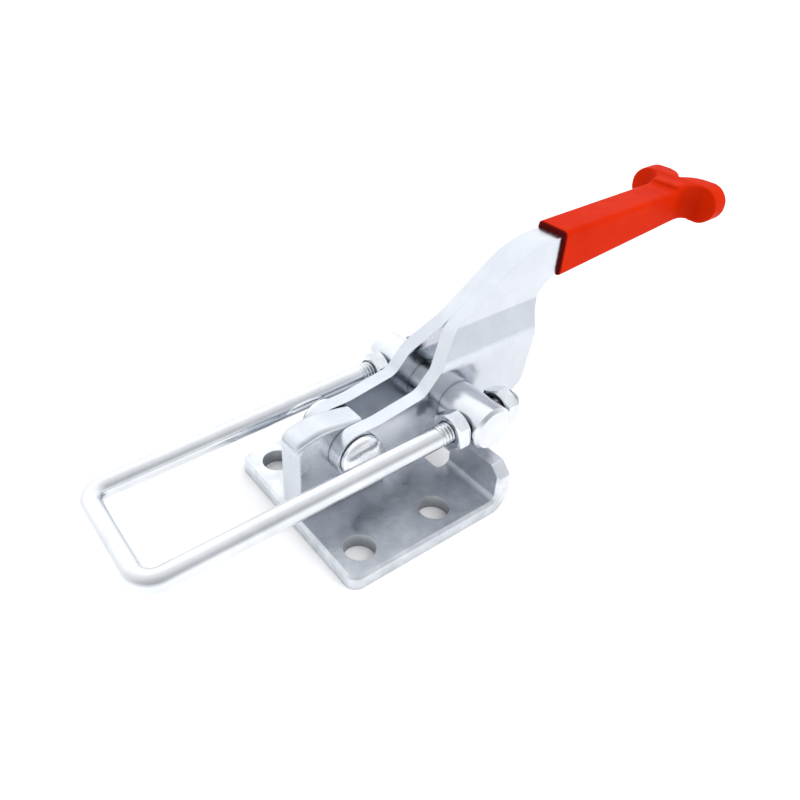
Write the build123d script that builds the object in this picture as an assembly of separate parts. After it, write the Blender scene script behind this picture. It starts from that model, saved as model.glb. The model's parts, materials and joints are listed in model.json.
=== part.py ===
from build123d import *
import math
import os

# Over centre toggle latch: a folding handle pulls a long hook bolt tight and locks it.
# Millimetres. The origin is the centre of the four bolt holes on the base's bottom face.
# X points to the grip and Z up. Left is -Y, as seen by a person who holds the grip
# and faces the hook. The latch is drawn closed, with the handle down on its stop.

# Base stamping
bolt_pitch_x = 25.4
bolt_pitch_y = 41.3
bolt_hole_d = 8.8
base_gauge = 4.4
base_front_margin = 8.2
base_side_margin = 8.25
base_corner_r = 3.4
base_rim_chamfer = 0.8
flange_from_hole = 15.6
flange_bend_r = 2.0
flange_corner_cut = 3.4
flange_corner_r = 0.8
window_width = 18.6
window_depth = 4.3
window_lintel = 6.8
window_corner_r = 1.5

# Pivot bracket, welded on the base
bracket_width = 8.4
bracket_crown = 9.3
bracket_front_drop = 2.1
bracket_lip = 7.0
bracket_lip_back = 4.35
bracket_lip_r = 1.0
bracket_knee_back = 9.0
bracket_knee_drop = 1.0
bracket_knee_r = 6.0
bracket_foot_back = 12.5
bracket_shoulder_r = 4.0
bracket_crown_forward = 8.3
bracket_crown_r = 15.0
bracket_edge_r = 1.6

# Pivot rivet
pivot_from_front = 16.95
pivot_height = 19.05
rivet_d = 7.0
rivet_head_d = 12.7
rivet_head_height = 3.0
rivet_rim = 1.0
rivet_crown_d = 7.6

# Trunnion, the round cross bar that carries the hook bolt
trunnion_from_pivot = 32.75
trunnion_rise = 3.25
trunnion_d = 13.0
trunnion_overhang = 6.8
trunnion_chamfer = 0.9

# Hook bolt, a round rod bent to a long U
rod_d = 6.0
hook_reach = 97.3
hook_half_width = 17.2
hook_bend_r = 5.2
hook_tilt = 1.26
rod_past_nut = 3.2
rod_chamfer = 0.7

# Hexagon nuts
nut_across_flats = 10.0
nut_height = 4.2
front_nut_turn = -3.75

# Handle: two mirrored plates, apart at the arms and back to back at the grip
plate_gauge = 4.2
joggle_low = 12.7
joggle_high = 21.3
joggle_bend_r = 3.0
eye_r = 7.2
arm_depth = 7.85
arm_straight = 6.0
arm_top_r = 20.0
arm_rise_back = 11.5
arm_rise = 6.3
arm_rise_r = 5.0
neck_back = 1.1
neck_rise = 20.2
neck_r = 20.0
bar_top = 37.3
shoulder_back = 26.5
shoulder_r = 28.0
belly_back = 31.6
belly_rise = 26.3
belly_r = 15.5
belly_low_back = 26.9
belly_lift = 7.4
belly_low_r = 4.0
toe_back = 16.0
toe_r = 6.0
bar_low = 31.4
ear_back = 95.7
ear_half_width = 14.3
ear_r = 5.0
ear_centre = 34.95
ear_bend_r = 3.0
ear_flare = 8.0
ear_flare_r = 8.0

# Grip: soft vinyl dipped over the two plates
grip_from_trunnion = 39.3
side_vinyl = 1.2
edge_vinyl = 1.7
ear_vinyl = 0.8
grip_edge_r = 1.4
grip_fillet_r = 4.0
crevice_reach = 1.2

# Clearances
hinge_clearance = 0.08
thread_clearance = 0.05
side_clearance = 0.1
seat_clearance = 0.1
stop_clearance = 0.1

# Cuts run past the faces by this much
overcut = 1.0

# Places worked out from the sizes above
front_hole_x = -bolt_pitch_x / 2
rear_hole_x = bolt_pitch_x / 2
base_front_x = front_hole_x - base_front_margin
base_half_width = bolt_pitch_y / 2 + base_side_margin
flange_x = rear_hole_x + flange_from_hole
base_back_x = flange_x + base_gauge
pivot_x = base_front_x + pivot_from_front
pivot_z = base_gauge + pivot_height
trunnion_x = pivot_x + trunnion_from_pivot
trunnion_z = pivot_z + trunnion_rise
trunnion_r = trunnion_d / 2
trunnion_half_length = hook_half_width + trunnion_overhang
arm_inner_y = bracket_width / 2 + side_clearance
arm_outer_y = arm_inner_y + plate_gauge
handle_bottom_z = pivot_z - arm_depth
flange_height = handle_bottom_z - stop_clearance
window_top = flange_height - window_lintel
ear_x = trunnion_x + ear_back
grip_x = trunnion_x + grip_from_trunnion
far = 4 * (hook_reach + ear_back)


def place(x, z):
    """A point of a side outline, given from the trunnion's axis."""
    return (trunnion_x + x, trunnion_z + z)


def outline(corners):
    """A closed outline of straight runs, each corner given as (x, y, radius)."""
    points = [(x, y) for x, y, radius in corners]
    radii = [radius for x, y, radius in corners]
    return make_face(FilletPolyline(*points, radius=radii, close=True))


def side_slab(corners, half_width):
    """A side outline in X and Z, as thick as twice the half width about Y = 0."""
    return extrude(Plane.XZ * outline(corners), amount=half_width, both=True)


def cross_bar(radius, length, x, z, y=0):
    """A round bar along Y with its middle at (x, y, z)."""
    return Pos(x, y, z) * Rot(90, 0, 0) * Cylinder(radius, length)


def on_hook(x, y):
    """The place on the hook bolt's plane, x mm behind the trunnion's axis."""
    return Pos(trunnion_x, 0, trunnion_z) * Rot(0, -hook_tilt, 0) * Pos(x, y, 0)


def mirrored(part):
    """The same piece on the other side of the latch."""
    return mirror(part, about=Plane.XZ)


# Base: one stamping, a flat floor and a flange bent up behind
def make_base_plate():
    bend_outer_r = flange_bend_r + base_gauge
    floor_and_flange = side_slab(
        [
            (base_front_x, 0, 0),
            (base_back_x, 0, bend_outer_r),
            (base_back_x, flange_height, 0),
            (flange_x, flange_height, 0),
            (flange_x, base_gauge, flange_bend_r),
            (base_front_x, base_gauge, 0),
        ],
        base_half_width,
    )
    plan_corners = [
        (base_front_x, -base_half_width, base_corner_r),
        (base_back_x, -base_half_width, 0),
        (base_back_x, base_half_width, 0),
        (base_front_x, base_half_width, base_corner_r),
    ]
    plate = floor_and_flange & extrude(outline(plan_corners), amount=flange_height)
    front_rim = plate.edges().filter_by_position(Axis.Z, base_gauge, base_gauge).sort_by(Axis.X)[0]
    plate = chamfer(front_rim, base_rim_chamfer)
    shoulder_y = base_half_width - flange_corner_cut
    shoulder_z = flange_height - flange_corner_cut
    end_corners = [
        (-base_half_width, 0, 0),
        (base_half_width, 0, 0),
        (base_half_width, shoulder_z, flange_corner_r),
        (shoulder_y, flange_height, flange_corner_r),
        (-shoulder_y, flange_height, flange_corner_r),
        (-base_half_width, shoulder_z, flange_corner_r),
    ]
    plate &= extrude(Plane.YZ * outline(end_corners), amount=far, both=True)
    hole = Cylinder(bolt_hole_d / 2, 3 * base_gauge)
    for x in (front_hole_x, rear_hole_x):
        for y in (-bolt_pitch_y / 2, bolt_pitch_y / 2):
            plate -= Pos(x, y, base_gauge) * hole
    window_corners = [
        (flange_x - window_depth, -window_width / 2, window_corner_r),
        (base_back_x + overcut, -window_width / 2, 0),
        (base_back_x + overcut, window_width / 2, 0),
        (flange_x - window_depth, window_width / 2, window_corner_r),
    ]
    window = extrude(outline(window_corners), amount=window_top + overcut)
    plate -= Pos(0, 0, -overcut) * window
    return plate


# Pivot bracket: a thick lug between the arms, flush with the base's front edge
def make_pivot_bracket():
    crown_z = pivot_z + bracket_crown
    lip_x = pivot_x + bracket_lip_back
    lip_z = pivot_z + bracket_lip
    foot_x = pivot_x + bracket_foot_back
    knee_x = pivot_x + bracket_knee_back
    lug = side_slab(
        [
            (base_front_x, base_gauge, 0),
            (base_front_x, crown_z - bracket_front_drop, bracket_shoulder_r),
            (pivot_x - bracket_crown_forward, crown_z, bracket_crown_r),
            (lip_x, lip_z, bracket_lip_r),
            (knee_x, pivot_z - bracket_knee_drop, bracket_knee_r),
            (foot_x, base_gauge, 0),
        ],
        bracket_width / 2,
    )
    top_edges = lug.edges().filter_by(lambda edge: edge.center().Z > pivot_z)
    top_edges = top_edges.filter_by(lambda edge: abs(edge.center().Y) > bracket_width / 4)
    front_edges = lug.edges().filter_by(Axis.Z).filter_by_position(Axis.X, base_front_x, base_front_x)
    lug = fillet(top_edges + front_edges, bracket_edge_r)
    return lug - cross_bar(rivet_d / 2, 2 * bracket_width, pivot_x, pivot_z)


# Pivot rivet: a plain shank with a low bevelled head on each end
def make_pivot_rivet():
    seat_y = arm_outer_y + side_clearance
    top_y = seat_y + rivet_head_height
    head_r = rivet_head_d / 2
    half_outline = Polyline(
        (0, 0),
        (rivet_d / 2, 0),
        (rivet_d / 2, seat_y),
        (head_r, seat_y),
        (head_r, seat_y + rivet_rim),
        (rivet_crown_d / 2, top_y),
        (0, top_y),
        close=True,
    )
    half = revolve(make_face(half_outline), Axis.Y)
    return Pos(pivot_x, 0, pivot_z) * (half + mirrored(half))


# Trunnion: a round bar through both arms, cross drilled near each end for the rod
def make_trunnion():
    bar = Rot(90, 0, 0) * Cylinder(trunnion_r, 2 * trunnion_half_length)
    bar = chamfer(bar.edges().filter_by(GeomType.CIRCLE), trunnion_chamfer)
    bar = Pos(trunnion_x, 0, trunnion_z) * bar
    drill = Rot(0, 90, 0) * Cylinder(rod_d / 2 + hinge_clearance, 2 * trunnion_d)
    for y in (-hook_half_width, hook_half_width):
        bar -= on_hook(0, y) * drill
    return bar


# Hook bolt: straight legs through the trunnion, joined by the bar that takes the keeper
def make_u_bolt():
    tail = trunnion_r + seat_clearance + nut_height + rod_past_nut
    path = FilletPolyline(
        (tail, -hook_half_width),
        (-hook_reach, -hook_half_width),
        (-hook_reach, hook_half_width),
        (tail, hook_half_width),
        radius=hook_bend_r,
    )
    start = Plane(origin=(tail, -hook_half_width, 0), z_dir=(-1, 0, 0))
    rod = sweep(start * Circle(rod_d / 2), path=path)
    ends = rod.edges().filter_by(GeomType.CIRCLE).sort_by(Axis.X)[-2:]
    rod = chamfer(ends, rod_chamfer)
    return on_hook(0, 0) * rod


# Nuts: one in front of the trunnion and one behind it on each leg
def make_nut(x, y, turn):
    blank = RegularPolygon(nut_across_flats / 2, 6, major_radius=False)
    nut = extrude(blank, amount=nut_height / 2, both=True)
    nut -= Cylinder(rod_d / 2 + thread_clearance, 2 * nut_height)
    return on_hook(x, y) * Rot(turn, 0, 0) * Rot(0, 90, 0) * nut


# Handle plates: the side outline of each plate, the joggle that is pressed into it
# and the ear that is bent out at its rear end
def handle_side():
    toe_z = handle_bottom_z - trunnion_z
    head_x = -trunnion_from_pivot
    head_z = -trunnion_rise
    corners = [
        (head_x, head_z - eye_r, 0),
        (head_x, head_z + eye_r, 0),
        (head_x + arm_straight, head_z + eye_r, arm_top_r),
        (-arm_rise_back, arm_rise, arm_rise_r),
        (neck_back, neck_rise, neck_r),
        (shoulder_back, bar_top, shoulder_r),
        (ear_back - ear_flare, bar_top, ear_flare_r),
        (ear_back, ear_centre + ear_r, 0),
        (ear_back, bar_low, 0),
        (belly_back, belly_rise, belly_r),
        (belly_low_back, toe_z + belly_lift, belly_low_r),
        (toe_back, toe_z, toe_r),
        (head_x + trunnion_r, toe_z, 0),
    ]
    return [place(x, z) + (radius,) for x, z, radius in corners]


def ears_from_behind(radius, low):
    """The round ends of both ears and the straight top between them, that trim what is bent out."""
    spread = ear_half_width - ear_r
    high = ear_centre + radius
    disc = Circle(radius)
    ears = Pos(-spread, ear_centre) * disc + Pos(spread, ear_centre) * disc
    ears += Pos(0, (low + high) / 2) * Rectangle(2 * spread, high - low)
    return extrude(Plane.YZ * Pos(0, trunnion_z) * ears, amount=far, both=True)


def make_joggled_section():
    low_z = trunnion_z + joggle_low
    high_z = trunnion_z + joggle_high
    fold = math.atan2(arm_outer_y - plate_gauge, high_z - low_z)
    lift = plate_gauge * math.tan(fold / 2)
    outer_bend_r = joggle_bend_r + plate_gauge
    section_corners = [
        (arm_inner_y, 0, 0),
        (arm_outer_y, 0, 0),
        (arm_outer_y, low_z, outer_bend_r),
        (plate_gauge, high_z, joggle_bend_r),
        (plate_gauge, 2 * high_z, 0),
        (0, 2 * high_z, 0),
        (0, high_z - lift, outer_bend_r),
        (arm_inner_y, low_z - lift, joggle_bend_r),
    ]
    section = extrude(Plane.YZ * outline(section_corners), amount=far, both=True)
    behind_bend = Pos(ear_x - ear_bend_r + far, 0, 0) * Box(2 * far, 2 * far, 4 * far)
    return section - behind_bend


def make_ear():
    rear_x = ear_x + plate_gauge
    root_x = ear_x - 2 * ear_bend_r
    plan_corners = [
        (root_x, 0, 0),
        (root_x, plate_gauge, 0),
        (ear_x, plate_gauge, ear_bend_r),
        (ear_x, ear_half_width, 0),
        (rear_x, ear_half_width, 0),
        (rear_x, 0, ear_bend_r + plate_gauge),
    ]
    ear = extrude(outline(plan_corners), amount=2 * (trunnion_z + ear_centre))
    return ear & ears_from_behind(ear_r, bar_low)


def make_handle_plate_right():
    side = side_slab(handle_side(), far) + cross_bar(eye_r, 2 * far, pivot_x, pivot_z)
    plate = (make_joggled_section() & side) + make_ear()
    plate -= cross_bar(rivet_d / 2 + hinge_clearance, far, pivot_x, pivot_z)
    plate -= cross_bar(trunnion_r + hinge_clearance, far, trunnion_x, trunnion_z)
    return plate


# Grip: the vinyl coat on the bar and the ears, with a shallow groove where the ears part
def grip_side(front_low, back_low):
    """The grip from the side, with its lower edge at these heights in front and behind."""
    ear_high = ear_centre + ear_r + ear_vinyl
    back = ear_back + plate_gauge + ear_vinyl
    corners = [
        (grip_from_trunnion, bar_top + edge_vinyl, 0),
        (ear_back - ear_flare, bar_top + edge_vinyl, ear_flare_r),
        (ear_back, ear_high, 0),
        (back, ear_high, 0),
        (back, back_low, 0),
        (grip_from_trunnion, front_low, 0),
    ]
    return [place(x, z) + (radius,) for x, z, radius in corners]


def make_grip(plates):
    half_width = plate_gauge + side_vinyl
    head_half_width = ear_half_width + ear_vinyl
    head_front = ear_x - ear_vinyl
    head_back = ear_x + plate_gauge + ear_vinyl
    taper = (bar_low - belly_rise) / (ear_back - belly_back)
    front_low = belly_rise + taper * (grip_from_trunnion - belly_back) - edge_vinyl
    back_low = bar_low - edge_vinyl
    bar = side_slab(grip_side(front_low, back_low), half_width)
    bar -= Pos(ear_x + far, 0, 0) * Box(2 * far, 2 * far, 4 * far)
    long_edges = bar.edges().filter_by(lambda edge: abs(edge.center().Y) > half_width / 2)
    long_edges = long_edges.filter_by(lambda edge: grip_x < edge.center().X - grip_edge_r < ear_x - 2 * grip_edge_r)
    bar = fillet(long_edges, grip_edge_r)
    neck_x = head_front - grip_fillet_r - overcut
    half_head_corners = [
        (neck_x, -ear_vinyl, 0),
        (neck_x, half_width, 0),
        (head_front, half_width, grip_fillet_r),
        (head_front, head_half_width, 0),
        (head_back, head_half_width, 0),
        (head_back, -ear_vinyl, ear_bend_r + plate_gauge + ear_vinyl),
    ]
    half_head = extrude(outline(half_head_corners), amount=2 * (trunnion_z + ear_centre))
    head = half_head + mirrored(half_head)
    head &= ears_from_behind(ear_r + ear_vinyl, back_low)
    head &= side_slab(grip_side(0, 0), far)
    crevice_height = ear_centre + ear_r - bar_low
    crevice = Box(2 * crevice_reach, crevice_reach, crevice_height)
    crevice = Pos(ear_x - ear_bend_r, 0, trunnion_z + bar_low + crevice_height / 2) * crevice
    return bar + head - plates - crevice


nut_places = {
    "front_nut": (-(trunnion_r + seat_clearance + nut_height / 2), front_nut_turn),
    "rear_nut": (trunnion_r + seat_clearance + nut_height / 2, 0),
}

plate_right = make_handle_plate_right()
plate_left = mirrored(plate_right)
parts = {
    "base_plate": make_base_plate(),
    "pivot_bracket": make_pivot_bracket(),
    "pivot_rivet": make_pivot_rivet(),
    "handle_plate_left": plate_left,
    "handle_plate_right": plate_right,
    "grip": make_grip(plate_left + plate_right),
    "trunnion": make_trunnion(),
    "u_bolt": make_u_bolt(),
}
for name, (x, turn) in nut_places.items():
    parts[name + "_left"] = make_nut(x, -hook_half_width, turn)
    parts[name + "_right"] = make_nut(x, hook_half_width, turn)

os.makedirs("parts", exist_ok=True)
for name, part in parts.items():
    export_step(part, os.path.join("parts", name + ".step"))
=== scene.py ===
"""Looks of the over centre toggle latch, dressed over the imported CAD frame.

Everything is in metres in the part's own frame: the origin is the centre of the
four bolt holes on the base's bottom face, X points to the grip and Z is up.
"""

import json
import math

import bmesh
import bpy
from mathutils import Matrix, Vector


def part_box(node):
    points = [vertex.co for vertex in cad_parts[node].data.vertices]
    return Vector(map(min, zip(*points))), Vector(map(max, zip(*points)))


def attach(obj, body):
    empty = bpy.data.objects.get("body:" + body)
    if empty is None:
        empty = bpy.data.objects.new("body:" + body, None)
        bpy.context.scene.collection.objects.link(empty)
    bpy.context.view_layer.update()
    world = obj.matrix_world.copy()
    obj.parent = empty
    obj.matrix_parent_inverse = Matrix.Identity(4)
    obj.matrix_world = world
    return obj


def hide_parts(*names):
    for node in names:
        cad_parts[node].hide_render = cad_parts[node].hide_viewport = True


MM = 0.001

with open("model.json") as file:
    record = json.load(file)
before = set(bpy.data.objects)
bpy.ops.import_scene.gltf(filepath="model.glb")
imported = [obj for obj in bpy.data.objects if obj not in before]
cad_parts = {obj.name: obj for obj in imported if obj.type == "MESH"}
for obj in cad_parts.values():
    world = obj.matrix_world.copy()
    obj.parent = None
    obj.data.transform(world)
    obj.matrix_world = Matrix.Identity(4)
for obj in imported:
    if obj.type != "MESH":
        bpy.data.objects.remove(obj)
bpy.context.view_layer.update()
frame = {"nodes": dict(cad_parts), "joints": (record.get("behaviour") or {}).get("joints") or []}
nodes = frame["nodes"]
scene = bpy.context.scene
scene.view_settings.view_transform = "Standard"


# Camera, fitted to the photo

CAMERA_PLACE = (-0.091619, -0.123986, 0.153419)
CAMERA_FORWARD = (0.45558, 0.65074, -0.60745)
FOCAL_PX = 740.72
IMAGE_PX = 800
CENTRE_PX = (338.89, 396.67)
SENSOR_MM = 36.0
CLIP_NEAR = 0.01
CLIP_FAR = 20


def add_camera():
    """The photo's camera, whose optical centre lies off the middle of the picture."""
    data = bpy.data.cameras.new("camera")
    data.sensor_width = SENSOR_MM
    data.lens = FOCAL_PX / IMAGE_PX * SENSOR_MM
    data.shift_x = (IMAGE_PX / 2 - CENTRE_PX[0]) / IMAGE_PX
    data.shift_y = (CENTRE_PX[1] - IMAGE_PX / 2) / IMAGE_PX
    data.clip_start = CLIP_NEAR
    data.clip_end = CLIP_FAR
    camera = bpy.data.objects.new("camera", data)
    camera.location = CAMERA_PLACE
    camera.rotation_euler = Vector(CAMERA_FORWARD).to_track_quat("-Z", "Y").to_euler()
    scene.collection.objects.link(camera)
    scene.camera = camera


add_camera()


# Node helpers

# Places of the colour sockets among all the sockets of a mix node.
MIX_COLOUR_A = 6
MIX_COLOUR_B = 7
MIX_COLOUR_OUT = 2


class Nodes:
    """The node tree of a material or world, with short calls to add and join nodes."""

    def __init__(self, owner):
        owner.use_nodes = True
        self.tree = owner.node_tree
        self.tree.nodes.clear()
        self.place = self.add("ShaderNodeTexCoord")

    def add(self, kind, **values):
        node = self.tree.nodes.new(kind)
        for key, value in values.items():
            setattr(node, key, value)
        return node

    def join(self, source, out, target, into):
        self.tree.links.new(source.outputs[out], target.inputs[into])

    def ramp(self, source, out, stops):
        """Turns a value into a colour by stops of a position and a colour."""
        ramp = self.add("ShaderNodeValToRGB")
        elements = ramp.color_ramp.elements
        while len(elements) < len(stops):
            elements.new(0.5)
        for element, (position, colour) in zip(elements, stops):
            element.position = position
            element.color = (*colour, 1)
        self.join(source, out, ramp, "Fac")
        return ramp

    def span(self, source, out, low, high, start=0.3, end=0.7):
        """Maps start..end of a value to low..high."""
        node = self.add("ShaderNodeMapRange")
        node.inputs["From Min"].default_value = start
        node.inputs["From Max"].default_value = end
        node.inputs["To Min"].default_value = low
        node.inputs["To Max"].default_value = high
        self.join(source, out, node, "Value")
        return node

    def blend(self, factor, first, second):
        """Goes from the first colour to the second by a factor; each is a tuple or a socket."""
        mix = self.add("ShaderNodeMix", data_type="RGBA")
        self.join(factor, "Result", mix, "Factor")
        for socket, colour in ((MIX_COLOUR_A, first), (MIX_COLOUR_B, second)):
            if isinstance(colour, tuple):
                mix.inputs[socket].default_value = (*colour, 1)
            else:
                self.tree.links.new(colour, mix.inputs[socket])
        return mix.outputs[MIX_COLOUR_OUT]


class Shader(Nodes):
    """A material with one principled shader and the textures that feed it."""

    def __init__(self, name):
        self.material = bpy.data.materials.new(name)
        super().__init__(self.material)
        self.principled = self.add("ShaderNodeBsdfPrincipled")
        self.join(self.principled, "BSDF", self.add("ShaderNodeOutputMaterial"), "Surface")

    def colour(self, socket):
        self.tree.links.new(socket, self.principled.inputs["Base Color"])

    def noise(self, size, detail, roughness=0.5, distortion=0.0):
        """Noise whose blotches are about size metres across."""
        mapping = self.add("ShaderNodeMapping")
        mapping.inputs["Scale"].default_value = [1 / size] * 3
        self.join(self.place, "Object", mapping, "Vector")
        noise = self.add("ShaderNodeTexNoise")
        noise.inputs["Scale"].default_value = 1.0
        noise.inputs["Detail"].default_value = detail
        noise.inputs["Roughness"].default_value = roughness
        noise.inputs["Distortion"].default_value = distortion
        self.join(mapping, "Vector", noise, "Vector")
        return noise

    def hollow(self, reach):
        """How open a point is: 1 in the open and towards 0 in folds and corners."""
        hollow = self.add("ShaderNodeAmbientOcclusion", samples=8)
        hollow.inputs["Distance"].default_value = reach
        return hollow

    def bump(self, source, depth, normal=None):
        bump = self.add("ShaderNodeBump")
        bump.inputs["Strength"].default_value = 1.0
        bump.inputs["Distance"].default_value = depth
        self.join(source, "Fac", bump, "Height")
        if normal is not None:
            self.join(normal, "Normal", bump, "Normal")
        return bump


# Zinc plate

WORN_EDGE = (0.74, 0.77, 0.81)
EDGE_MATCH_SHARP = 0.93
EDGE_MATCH_FLAT = 0.999
# Colour of the painted shade in hollows and corners.
PAINTED_HOLLOW_SHADE = (0.16, 0.17, 0.19)
HOLLOW_SHADE = 0.85
HOLLOW_OPENNESS = (0.20, 0.62)
CLOUD_GREY_BELOW = 0.32
CLOUD_PALE_ABOVE = 0.68
SMEAR_SHARE = 0.45
GLOSS_SPREAD = (0.75, 1.35)
GRAIN_SIZE = 0.35 * MM
GRAIN_DEPTH = 0.0007 * MM


def edge_mask(shader, radius):
    """1 on sharp edges and 0 on faces: how far the bevelled normal leaves the face's own."""
    bevel = shader.add("ShaderNodeBevel", samples=4)
    bevel.inputs["Radius"].default_value = radius
    geometry = shader.add("ShaderNodeNewGeometry")
    match = shader.add("ShaderNodeVectorMath", operation="DOT_PRODUCT")
    shader.join(bevel, "Normal", match, 0)
    shader.join(geometry, "Normal", match, 1)
    return shader.span(match, "Value", 1.0, 0.0, EDGE_MATCH_SHARP, EDGE_MATCH_FLAT), bevel


def plated_metal(name, pale, grey, rough, blotch, edge_radius=0.25 * MM, hollow_reach=4 * MM,
                 wave_size=7 * MM, wave_depth=0.03 * MM):
    """Zinc plate: cloudy in colour and gloss, a little wavy, lighter on edges, with painted shade
    in hollows.
    """
    shader = Shader(name)
    cloud = shader.noise(blotch, detail=4, roughness=0.6, distortion=0.4)
    colour = shader.ramp(cloud, "Fac", [(CLOUD_GREY_BELOW, grey), (CLOUD_PALE_ABOVE, pale)])
    edge, bevel = edge_mask(shader, edge_radius)
    edged = shader.blend(edge, colour.outputs["Color"], WORN_EDGE)
    # Painted shade: the colour is darkened in hollows and corners by ambient occlusion.
    hollow = shader.span(shader.hollow(hollow_reach), "AO", HOLLOW_SHADE, 0.0, *HOLLOW_OPENNESS)
    shader.colour(shader.blend(hollow, edged, PAINTED_HOLLOW_SHADE))
    shader.principled.inputs["Metallic"].default_value = 1.0
    smear = shader.noise(blotch * SMEAR_SHARE, detail=5, roughness=0.65)
    gloss = shader.span(smear, "Fac", rough * GLOSS_SPREAD[0], rough * GLOSS_SPREAD[1])
    shader.join(gloss, "Result", shader.principled, "Roughness")
    wavy = shader.bump(shader.noise(wave_size, detail=1), wave_depth, bevel)
    grainy = shader.bump(shader.noise(GRAIN_SIZE, detail=3, roughness=0.6), GRAIN_DEPTH, wavy)
    shader.join(grainy, "Normal", shader.principled, "Normal")
    return shader.material


# Dipped vinyl

VINYL_DARK = (0.52, 0.015, 0.0005)
VINYL_BRIGHT = (0.57, 0.021, 0.001)
VINYL_CLOUD = 9 * MM
# Colour of the painted shade in the vinyl's folds and on its front lip.
PAINTED_VINYL_SHADE = (0.10, 0.004, 0.004)
VINYL_FOLD = 7 * MM
FOLD_SHADE = 0.7
FOLD_OPENNESS = (0.35, 0.95)
# The painted shade on the coat's front lip fades out between these distances behind its front.
LIP_START = 0.1 * MM
LIP_END = 0.5 * MM
VINYL_SMEAR = 3 * MM
VINYL_GLOSS = (0.38, 0.52)
VINYL_IOR = 1.5
VINYL_SHINE = 0.02
SAG_SIZE = 6 * MM
SAG_DEPTH = 0.10 * MM
SKIN_SIZE = 0.9 * MM
SKIN_DEPTH = 0.006 * MM


def vinyl(name, front_x):
    """Dipped vinyl: a slightly uneven red skin, with painted shade in its folds and on the lip in
    front.
    """
    shader = Shader(name)
    cloud = shader.noise(VINYL_CLOUD, detail=3)
    colour = shader.ramp(cloud, "Fac", [(0.3, VINYL_DARK), (0.7, VINYL_BRIGHT)])
    # Painted shade: the colour is darkened in folds and corners by ambient occlusion.
    fold = shader.span(shader.hollow(VINYL_FOLD), "AO", FOLD_SHADE, 0.0, *FOLD_OPENNESS)
    fold_shaded = shader.blend(fold, colour.outputs["Color"], PAINTED_VINYL_SHADE)
    # Painted shade: the first half millimetre behind the coat's front is darkened in the colour.
    split = shader.add("ShaderNodeSeparateXYZ")
    shader.join(shader.place, "Object", split, "Vector")
    painted_lip_shade = shader.span(split, "X", 1.0, 0.0, front_x + LIP_START, front_x + LIP_END)
    shader.colour(shader.blend(painted_lip_shade, fold_shaded, PAINTED_VINYL_SHADE))
    gloss = shader.span(shader.noise(VINYL_SMEAR, detail=4), "Fac", *VINYL_GLOSS)
    shader.join(gloss, "Result", shader.principled, "Roughness")
    shader.principled.inputs["IOR"].default_value = VINYL_IOR
    shader.principled.inputs["Specular IOR Level"].default_value = VINYL_SHINE
    sagging = shader.bump(shader.noise(SAG_SIZE, detail=1), SAG_DEPTH)
    skinned = shader.bump(shader.noise(SKIN_SIZE, detail=2, roughness=0.4), SKIN_DEPTH, sagging)
    shader.join(skinned, "Normal", shader.principled, "Normal")
    return shader.material


# Floor and light

FLOOR_SIZE = 6
FLOOR_DROP = 0.02 * MM
FLOOR_PALE = (0.95, 0.95, 0.95, 1)
FLOOR_ROUGHNESS = 0.9
FLOOR_SHINE = 0.1
SUN_FROM = (0.35, -0.55, 0.75)
SUN_STRENGTH = 1.7
SUN_WIDTH_DEGREES = 70
STUDIO_BRIGHT_SIDE = (0.34, 0.90, 0.27)
STUDIO_STOPS = [
    (0.00, (0.46, 0.47, 0.49)),
    (0.34, (0.68, 0.69, 0.71)),
    (0.42, (0.82, 0.83, 0.85)),
    (0.66, (1.06, 1.07, 1.09)),
    (0.82, (1.36, 1.37, 1.39)),
    (1.00, (1.44, 1.45, 1.47)),
]
HORIZON_COLOUR = (1.10, 1.11, 1.13)
HORIZON_RISE = (0.12, 0.45)


def add_floor():
    """A plain pale floor just under the base."""
    bpy.ops.mesh.primitive_plane_add(size=FLOOR_SIZE, location=(0, 0, -FLOOR_DROP))
    floor = bpy.context.active_object
    floor.name = "floor"
    shader = Shader("floor_paper")
    shader.principled.inputs["Base Color"].default_value = FLOOR_PALE
    shader.principled.inputs["Roughness"].default_value = FLOOR_ROUGHNESS
    shader.principled.inputs["Specular IOR Level"].default_value = FLOOR_SHINE
    floor.data.materials.append(shader.material)


def add_world():
    """A pale studio, white at the horizon, bright behind the latch, greyer in front and above."""
    world = bpy.data.worlds.new("studio")
    scene.world = world
    sky = Nodes(world)
    toward = sky.add("ShaderNodeVectorMath", operation="DOT_PRODUCT")
    toward.inputs[1].default_value = STUDIO_BRIGHT_SIDE
    sky.join(sky.place, "Generated", toward, 0)
    studio = sky.ramp(sky.span(toward, "Value", 0, 1, -1, 1), "Result", STUDIO_STOPS)
    split = sky.add("ShaderNodeSeparateXYZ")
    sky.join(sky.place, "Generated", split, "Vector")
    above = sky.span(split, "Z", 0, 1, *HORIZON_RISE)
    glow = sky.blend(above, HORIZON_COLOUR, studio.outputs["Color"])
    back = sky.add("ShaderNodeBackground")
    sky.tree.links.new(glow, back.inputs["Color"])
    sky.join(back, "Background", sky.add("ShaderNodeOutputWorld"), "Surface")


def add_sun():
    """One very wide, soft light from the front, that reaches the whole floor alike."""
    data = bpy.data.lights.new("soft_sun", "SUN")
    data.energy = SUN_STRENGTH
    data.angle = math.radians(SUN_WIDTH_DEGREES)
    light = bpy.data.objects.new("soft_sun", data)
    light.rotation_euler = (-Vector(SUN_FROM)).to_track_quat("-Z", "Y").to_euler()
    light.visible_glossy = False
    scene.collection.objects.link(light)


add_floor()
add_world()
add_sun()


# Materials of all pieces, and the nodes that keep their own shape

PALE_ZINC = (0.66, 0.69, 0.73)
GREY_ZINC = (0.58, 0.61, 0.66)

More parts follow.
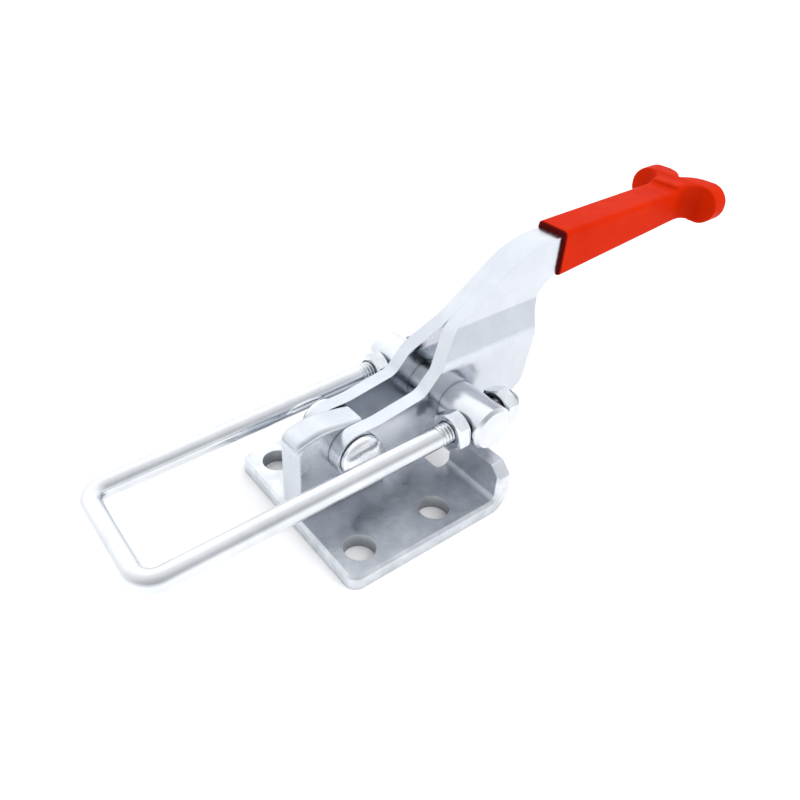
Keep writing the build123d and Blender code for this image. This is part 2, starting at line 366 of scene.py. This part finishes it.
plate_metal = plated_metal("zinc_handle", PALE_ZINC, GREY_ZINC, rough=0.22, blotch=14 * MM,
                           edge_radius=0.12 * MM)
base_metal = plated_metal("zinc_base", (0.82, 0.84, 0.88), (0.58, 0.61, 0.65), rough=0.34,
                          blotch=7 * MM, hollow_reach=9 * MM)
bracket_metal = plated_metal("zinc_bracket", PALE_ZINC, GREY_ZINC, rough=0.24, blotch=8 * MM)
bar_metal = plated_metal("zinc_bar", (0.77, 0.79, 0.83), (0.68, 0.71, 0.75), rough=0.20,
                         blotch=9 * MM)
rod_metal = plated_metal("zinc_rod", (0.78, 0.80, 0.82), (0.68, 0.70, 0.73), rough=0.16,
                         blotch=12 * MM)
nut_metal = plated_metal("zinc_nut", (0.84, 0.87, 0.91), (0.68, 0.71, 0.76), rough=0.20,
                         blotch=4 * MM, edge_radius=0.15 * MM)
rivet_metal = plated_metal("zinc_rivet", (0.95, 0.96, 0.98), (0.80, 0.83, 0.87), rough=0.24,
                           blotch=3 * MM, wave_size=3.2 * MM, wave_depth=0.09 * MM)
red_vinyl = vinyl("red_vinyl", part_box("grip")[0][0])


def dress(name, material):
    """Gives a node that keeps its own shape its material."""
    node = nodes[name]
    node.data.materials.clear()
    node.data.materials.append(material)


dress("base_plate", base_metal)
dress("pivot_bracket", bracket_metal)
dress("handle_plate_left", plate_metal)
dress("handle_plate_right", plate_metal)
dress("trunnion", bar_metal)


# Mesh helpers


def middle(name):
    """The middle of a node's box."""
    low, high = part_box(name)
    return (Vector(low) + Vector(high)) / 2


def joint(name):
    return next(j for j in frame["joints"] if j["name"] == name)


def stitch(rings, closed_path=False, capped=False):
    """A mesh of quads through rings that all have the same number of points."""
    mesh = bmesh.new()
    rows = [[mesh.verts.new(point) for point in ring] for ring in rings]
    pairs = list(zip(rows, rows[1:]))
    if closed_path:
        pairs.append((rows[-1], rows[0]))
    count = len(rows[0])
    for near, far in pairs:
        for i in range(count):
            j = (i + 1) % count
            mesh.faces.new((near[i], near[j], far[j], far[i]))
    if capped:
        mesh.faces.new(list(reversed(rows[0])))
        mesh.faces.new(rows[-1])
    bmesh.ops.recalc_face_normals(mesh, faces=mesh.faces)
    return mesh


def add_piece(name, mesh, material, body, stands_for, crease_angle):
    """Makes a piece of a bmesh, smooth but for edges sharper than the crease angle in degrees."""
    data = bpy.data.meshes.new(name)
    mesh.to_mesh(data)
    mesh.free()
    data.materials.append(material)
    piece = bpy.data.objects.new(name, data)
    scene.collection.objects.link(piece)
    data.shade_smooth()
    data.set_sharp_from_angle(angle=math.radians(crease_angle))
    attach(piece, body)
    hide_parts(stands_for)
    return piece


# Hook bolt: one bent rod with a rolled thread on both ends

ROD_RADIUS = 3.0 * MM
ROD_SIDES = 28
THREAD_PITCH = 1.0 * MM
THREAD_DEPTH = 0.6 * MM
THREAD_LENGTH = 28.8 * MM
THREAD_RUNOUT = 2 * THREAD_PITCH
THREAD_STEEPNESS = 1.3
THREAD_CREST = 0.15
RINGS_PER_PITCH = 6
HOOK_REACH = 97.3 * MM
HOOK_HALF_WIDTH = 17.2 * MM
HOOK_BEND_RADIUS = 5.2 * MM
HOOK_TAIL = 14.0 * MM
BEND_STEPS = 14
LEG_STEPS = 10
END_CHAMFER = 0.7 * MM
ROD_CREASE = 50

hook_out = Vector(joint("hook_adjust")["axis"]).normalized()
hook_back = -hook_out
hook_side = Vector((0, 1, 0))
hook_up = hook_back.cross(hook_side)
trunnion_axis = middle("trunnion")


def on_hook(x, y):
    """A point of the hook's plane, x behind the trunnion's axis and y to the right."""
    return trunnion_axis + hook_back * x + hook_side * y


def hook_path():
    """Length along the rod, place and direction, from one threaded end to the other."""
    leg = HOOK_TAIL + HOOK_REACH - HOOK_BEND_RADIUS
    fine_steps = round(THREAD_LENGTH / THREAD_PITCH * RINGS_PER_PITCH)
    fine = [i * THREAD_PITCH / RINGS_PER_PITCH for i in range(fine_steps + 1)]
    plain = leg - THREAD_LENGTH
    coarse = [THREAD_LENGTH + plain * i / LEG_STEPS for i in range(1, LEG_STEPS + 1)]
    steps = []
    for along in fine + coarse:
        steps.append((along, on_hook(HOOK_TAIL - along, -HOOK_HALF_WIDTH), hook_out))
    arc = HOOK_BEND_RADIUS * math.pi / 2
    centre_x = -HOOK_REACH + HOOK_BEND_RADIUS
    centre_y = -HOOK_HALF_WIDTH + HOOK_BEND_RADIUS
    for i in range(1, BEND_STEPS + 1):
        turn = i / BEND_STEPS * math.pi / 2
        x = centre_x - HOOK_BEND_RADIUS * math.sin(turn)
        y = centre_y - HOOK_BEND_RADIUS * math.cos(turn)
        heading = hook_out * math.cos(turn) + hook_side * math.sin(turn)
        steps.append((leg + arc * i / BEND_STEPS, on_hook(x, y), heading))
    half = leg + arc + HOOK_HALF_WIDTH - HOOK_BEND_RADIUS
    whole = list(steps)
    for along, place, heading in reversed(steps):
        across = 2 * place.dot(hook_side) * hook_side
        back_heading = -(heading - 2 * heading.dot(hook_side) * hook_side)
        whole.append((2 * half - along, place - across, back_heading))
    return whole, 2 * half


def thread_groove(turns):
    """0 at the crest of a V thread and 1 at its root, with narrow flats on both."""
    wave = abs(2 * (turns % 1) - 1)
    return min(max(THREAD_STEEPNESS * wave - THREAD_CREST, 0), 1)


def hook_mesh():
    """The rod swept along its path, with the thread cut into rings set close together."""
    steps, total = hook_path()
    rings = []
    for along, place, heading in steps:
        side = hook_up.cross(heading)
        from_end = min(along, total - along)
        fade = min(max((THREAD_LENGTH - from_end) / THREAD_RUNOUT, 0), 1)
        chamfer = max(END_CHAMFER - from_end, 0)
        ring = []
        for i in range(ROD_SIDES):
            angle = 2 * math.pi * i / ROD_SIDES
            turns = along / THREAD_PITCH - i / ROD_SIDES
            groove = THREAD_DEPTH * fade * thread_groove(turns)
            radius = min(ROD_RADIUS - groove, ROD_RADIUS - chamfer)
            ring.append(place + radius * (math.cos(angle) * side + math.sin(angle) * hook_up))
        rings.append(ring)
    return stitch(rings, capped=True)


add_piece("hook_rod", hook_mesh(), rod_metal, "hook", "u_bolt", ROD_CREASE)


# Nuts: hexagons with both faces' corners turned off

NUT_HALF_FLATS = 5.0 * MM
NUT_HALF_HEIGHT = 2.1 * MM
NUT_FACE_RADIUS = 4.75 * MM
NUT_BORE_RADIUS = 3.05 * MM
NUT_MOUTH_RADIUS = 3.4 * MM
NUT_CHAMFER_SLOPE = math.tan(math.radians(30))
NUT_SAMPLES = 72
NUT_CORNER_DEGREES = {"front": 26.25, "rear": 30.0}
NUT_CREASE = 20
HEX_SECTOR = 60


def nut_mesh(name):
    """One closed profile carried round the nut's axis, its flats and chamfers worked out."""
    centre = middle(name)
    first_corner = NUT_CORNER_DEGREES[name.split("_")[0]]
    mouth = NUT_MOUTH_RADIUS - NUT_BORE_RADIUS
    profiles = []
    for i in range(NUT_SAMPLES):
        past_corner = 360 * i / NUT_SAMPLES
        off_flat = math.radians(past_corner % HEX_SECTOR - HEX_SECTOR / 2)
        reach = NUT_HALF_FLATS / math.cos(off_flat)
        drop = (reach - NUT_FACE_RADIUS) * NUT_CHAMFER_SLOPE
        angle = math.radians(first_corner + past_corner)
        away = hook_side * math.cos(angle) + hook_up * math.sin(angle)
        profile = [
            (NUT_MOUTH_RADIUS, -NUT_HALF_HEIGHT),
            (NUT_BORE_RADIUS, -NUT_HALF_HEIGHT + mouth),
            (NUT_BORE_RADIUS, NUT_HALF_HEIGHT - mouth),
            (NUT_MOUTH_RADIUS, NUT_HALF_HEIGHT),
            (NUT_FACE_RADIUS, NUT_HALF_HEIGHT),
            (reach, NUT_HALF_HEIGHT - drop),
            (reach, drop - NUT_HALF_HEIGHT),
            (NUT_FACE_RADIUS, -NUT_HALF_HEIGHT),
        ]
        profiles.append([centre + away * radius + hook_back * along for radius, along in profile])
    return stitch(list(zip(*profiles)), closed_path=True)


for nut in ("front_nut_left", "front_nut_right", "rear_nut_left", "rear_nut_right"):
    add_piece(nut + "_hex", nut_mesh(nut), nut_metal, nut, nut, NUT_CREASE)


# Pivot rivet: a shank with a low domed head on each end

RIVET_SHANK_RADIUS = 3.5 * MM
RIVET_SEAT = 8.6 * MM
RIVET_RIM = 1.1 * MM
RIVET_HEAD_BEVEL = 0.2 * MM
RIVET_CROWN_RADIUS = 2.6 * MM
RIVET_DOME_STEPS = 10
RIVET_SIDES = 64
RIVET_CREASE = 40


def rivet_mesh():
    """The profile of one head, mirrored for the other end and turned about the rivet's axis."""
    centre = middle("pivot_rivet")
    low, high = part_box("pivot_rivet")
    head_radius = (high[0] - low[0]) / 2
    top = high[1]
    rim_top = RIVET_SEAT + RIVET_RIM
    half = [
        (RIVET_SHANK_RADIUS, RIVET_SEAT),
        (head_radius - RIVET_HEAD_BEVEL, RIVET_SEAT),
        (head_radius, RIVET_SEAT + RIVET_HEAD_BEVEL),
    ]
    for i in range(RIVET_DOME_STEPS + 1):
        turn = i / RIVET_DOME_STEPS * math.pi / 2
        radius = RIVET_CROWN_RADIUS + (head_radius - RIVET_CROWN_RADIUS) * math.cos(turn)
        half.append((radius, rim_top + (top - rim_top) * math.sin(turn)))
    profile = [(radius, -y) for radius, y in reversed(half)] + half
    rings = []
    for radius, y in profile:
        ring = []
        for i in range(RIVET_SIDES):
            angle = 2 * math.pi * i / RIVET_SIDES
            x = centre.x + radius * math.cos(angle)
            ring.append((x, y, centre.z + radius * math.sin(angle)))
        rings.append(ring)
    return stitch(rings, capped=True)


add_piece("rivet_domed", rivet_mesh(), rivet_metal, "base", "pivot_rivet",
          RIVET_CREASE)


# Grip: one soft skin over both plates and ears

# The solids' plates stand a little out of the coat at the ears' roots, so their copies are
# made thicker by the least coat before they are joined with it, and the skin covers them.
WELD = 0.001 * MM
LEAST_COAT = 0.5 * MM
FRONT_TRIM = 0.01 * MM
GRIP_VOXEL = 0.36 * MM
GRIP_SMOOTH_FACTOR = 0.5
GRIP_SMOOTHING = 7
GRIP_CREASE = 180


def grip_mesh():
    """The coat and thickened copies of both plates in one mesh, cut off at the coat's front."""
    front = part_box("grip")[0][0]
    solid = bmesh.new()
    for name, coat in (
        ("grip", 0),
        ("handle_plate_left", LEAST_COAT),
        ("handle_plate_right", LEAST_COAT),
    ):
        copied = bmesh.new()
        copied.from_mesh(nodes[name].data)
        bmesh.ops.remove_doubles(copied, verts=copied.verts, dist=WELD)
        bmesh.ops.recalc_face_normals(copied, faces=copied.faces)
        copied.normal_update()
        for vertex in copied.verts:
            vertex.co += vertex.normal * coat
        welded = bpy.data.meshes.new("welded")
        copied.to_mesh(welded)
        copied.free()
        solid.from_mesh(welded)
        bpy.data.meshes.remove(welded)
    geometry = solid.verts[:] + solid.edges[:] + solid.faces[:]
    cut = bmesh.ops.bisect_plane(solid, geom=geometry, plane_co=(front + FRONT_TRIM, 0, 0),
                                 plane_no=(1, 0, 0), clear_inner=True)
    rim = [e for e in cut["geom_cut"] if isinstance(e, bmesh.types.BMEdge)]
    bmesh.ops.holes_fill(solid, edges=rim, sides=0)
    return solid


def soften(piece):
    """Remeshes a piece into one skin and smooths it, as dipping would."""
    remesh = piece.modifiers.new("remesh", "REMESH")
    remesh.mode = "VOXEL"
    remesh.voxel_size = GRIP_VOXEL
    remesh.use_smooth_shade = True
    smooth = piece.modifiers.new("smooth", "SMOOTH")
    smooth.factor = GRIP_SMOOTH_FACTOR
    smooth.iterations = GRIP_SMOOTHING
    shown = piece.evaluated_get(bpy.context.evaluated_depsgraph_get())
    result = bpy.data.meshes.new_from_object(shown)
    piece.modifiers.clear()
    piece.data = result


grip = add_piece("grip_skin", grip_mesh(), red_vinyl, "handle", "grip", GRIP_CREASE)
soften(grip)


# Last update of the view layer

bpy.context.view_layer.update()
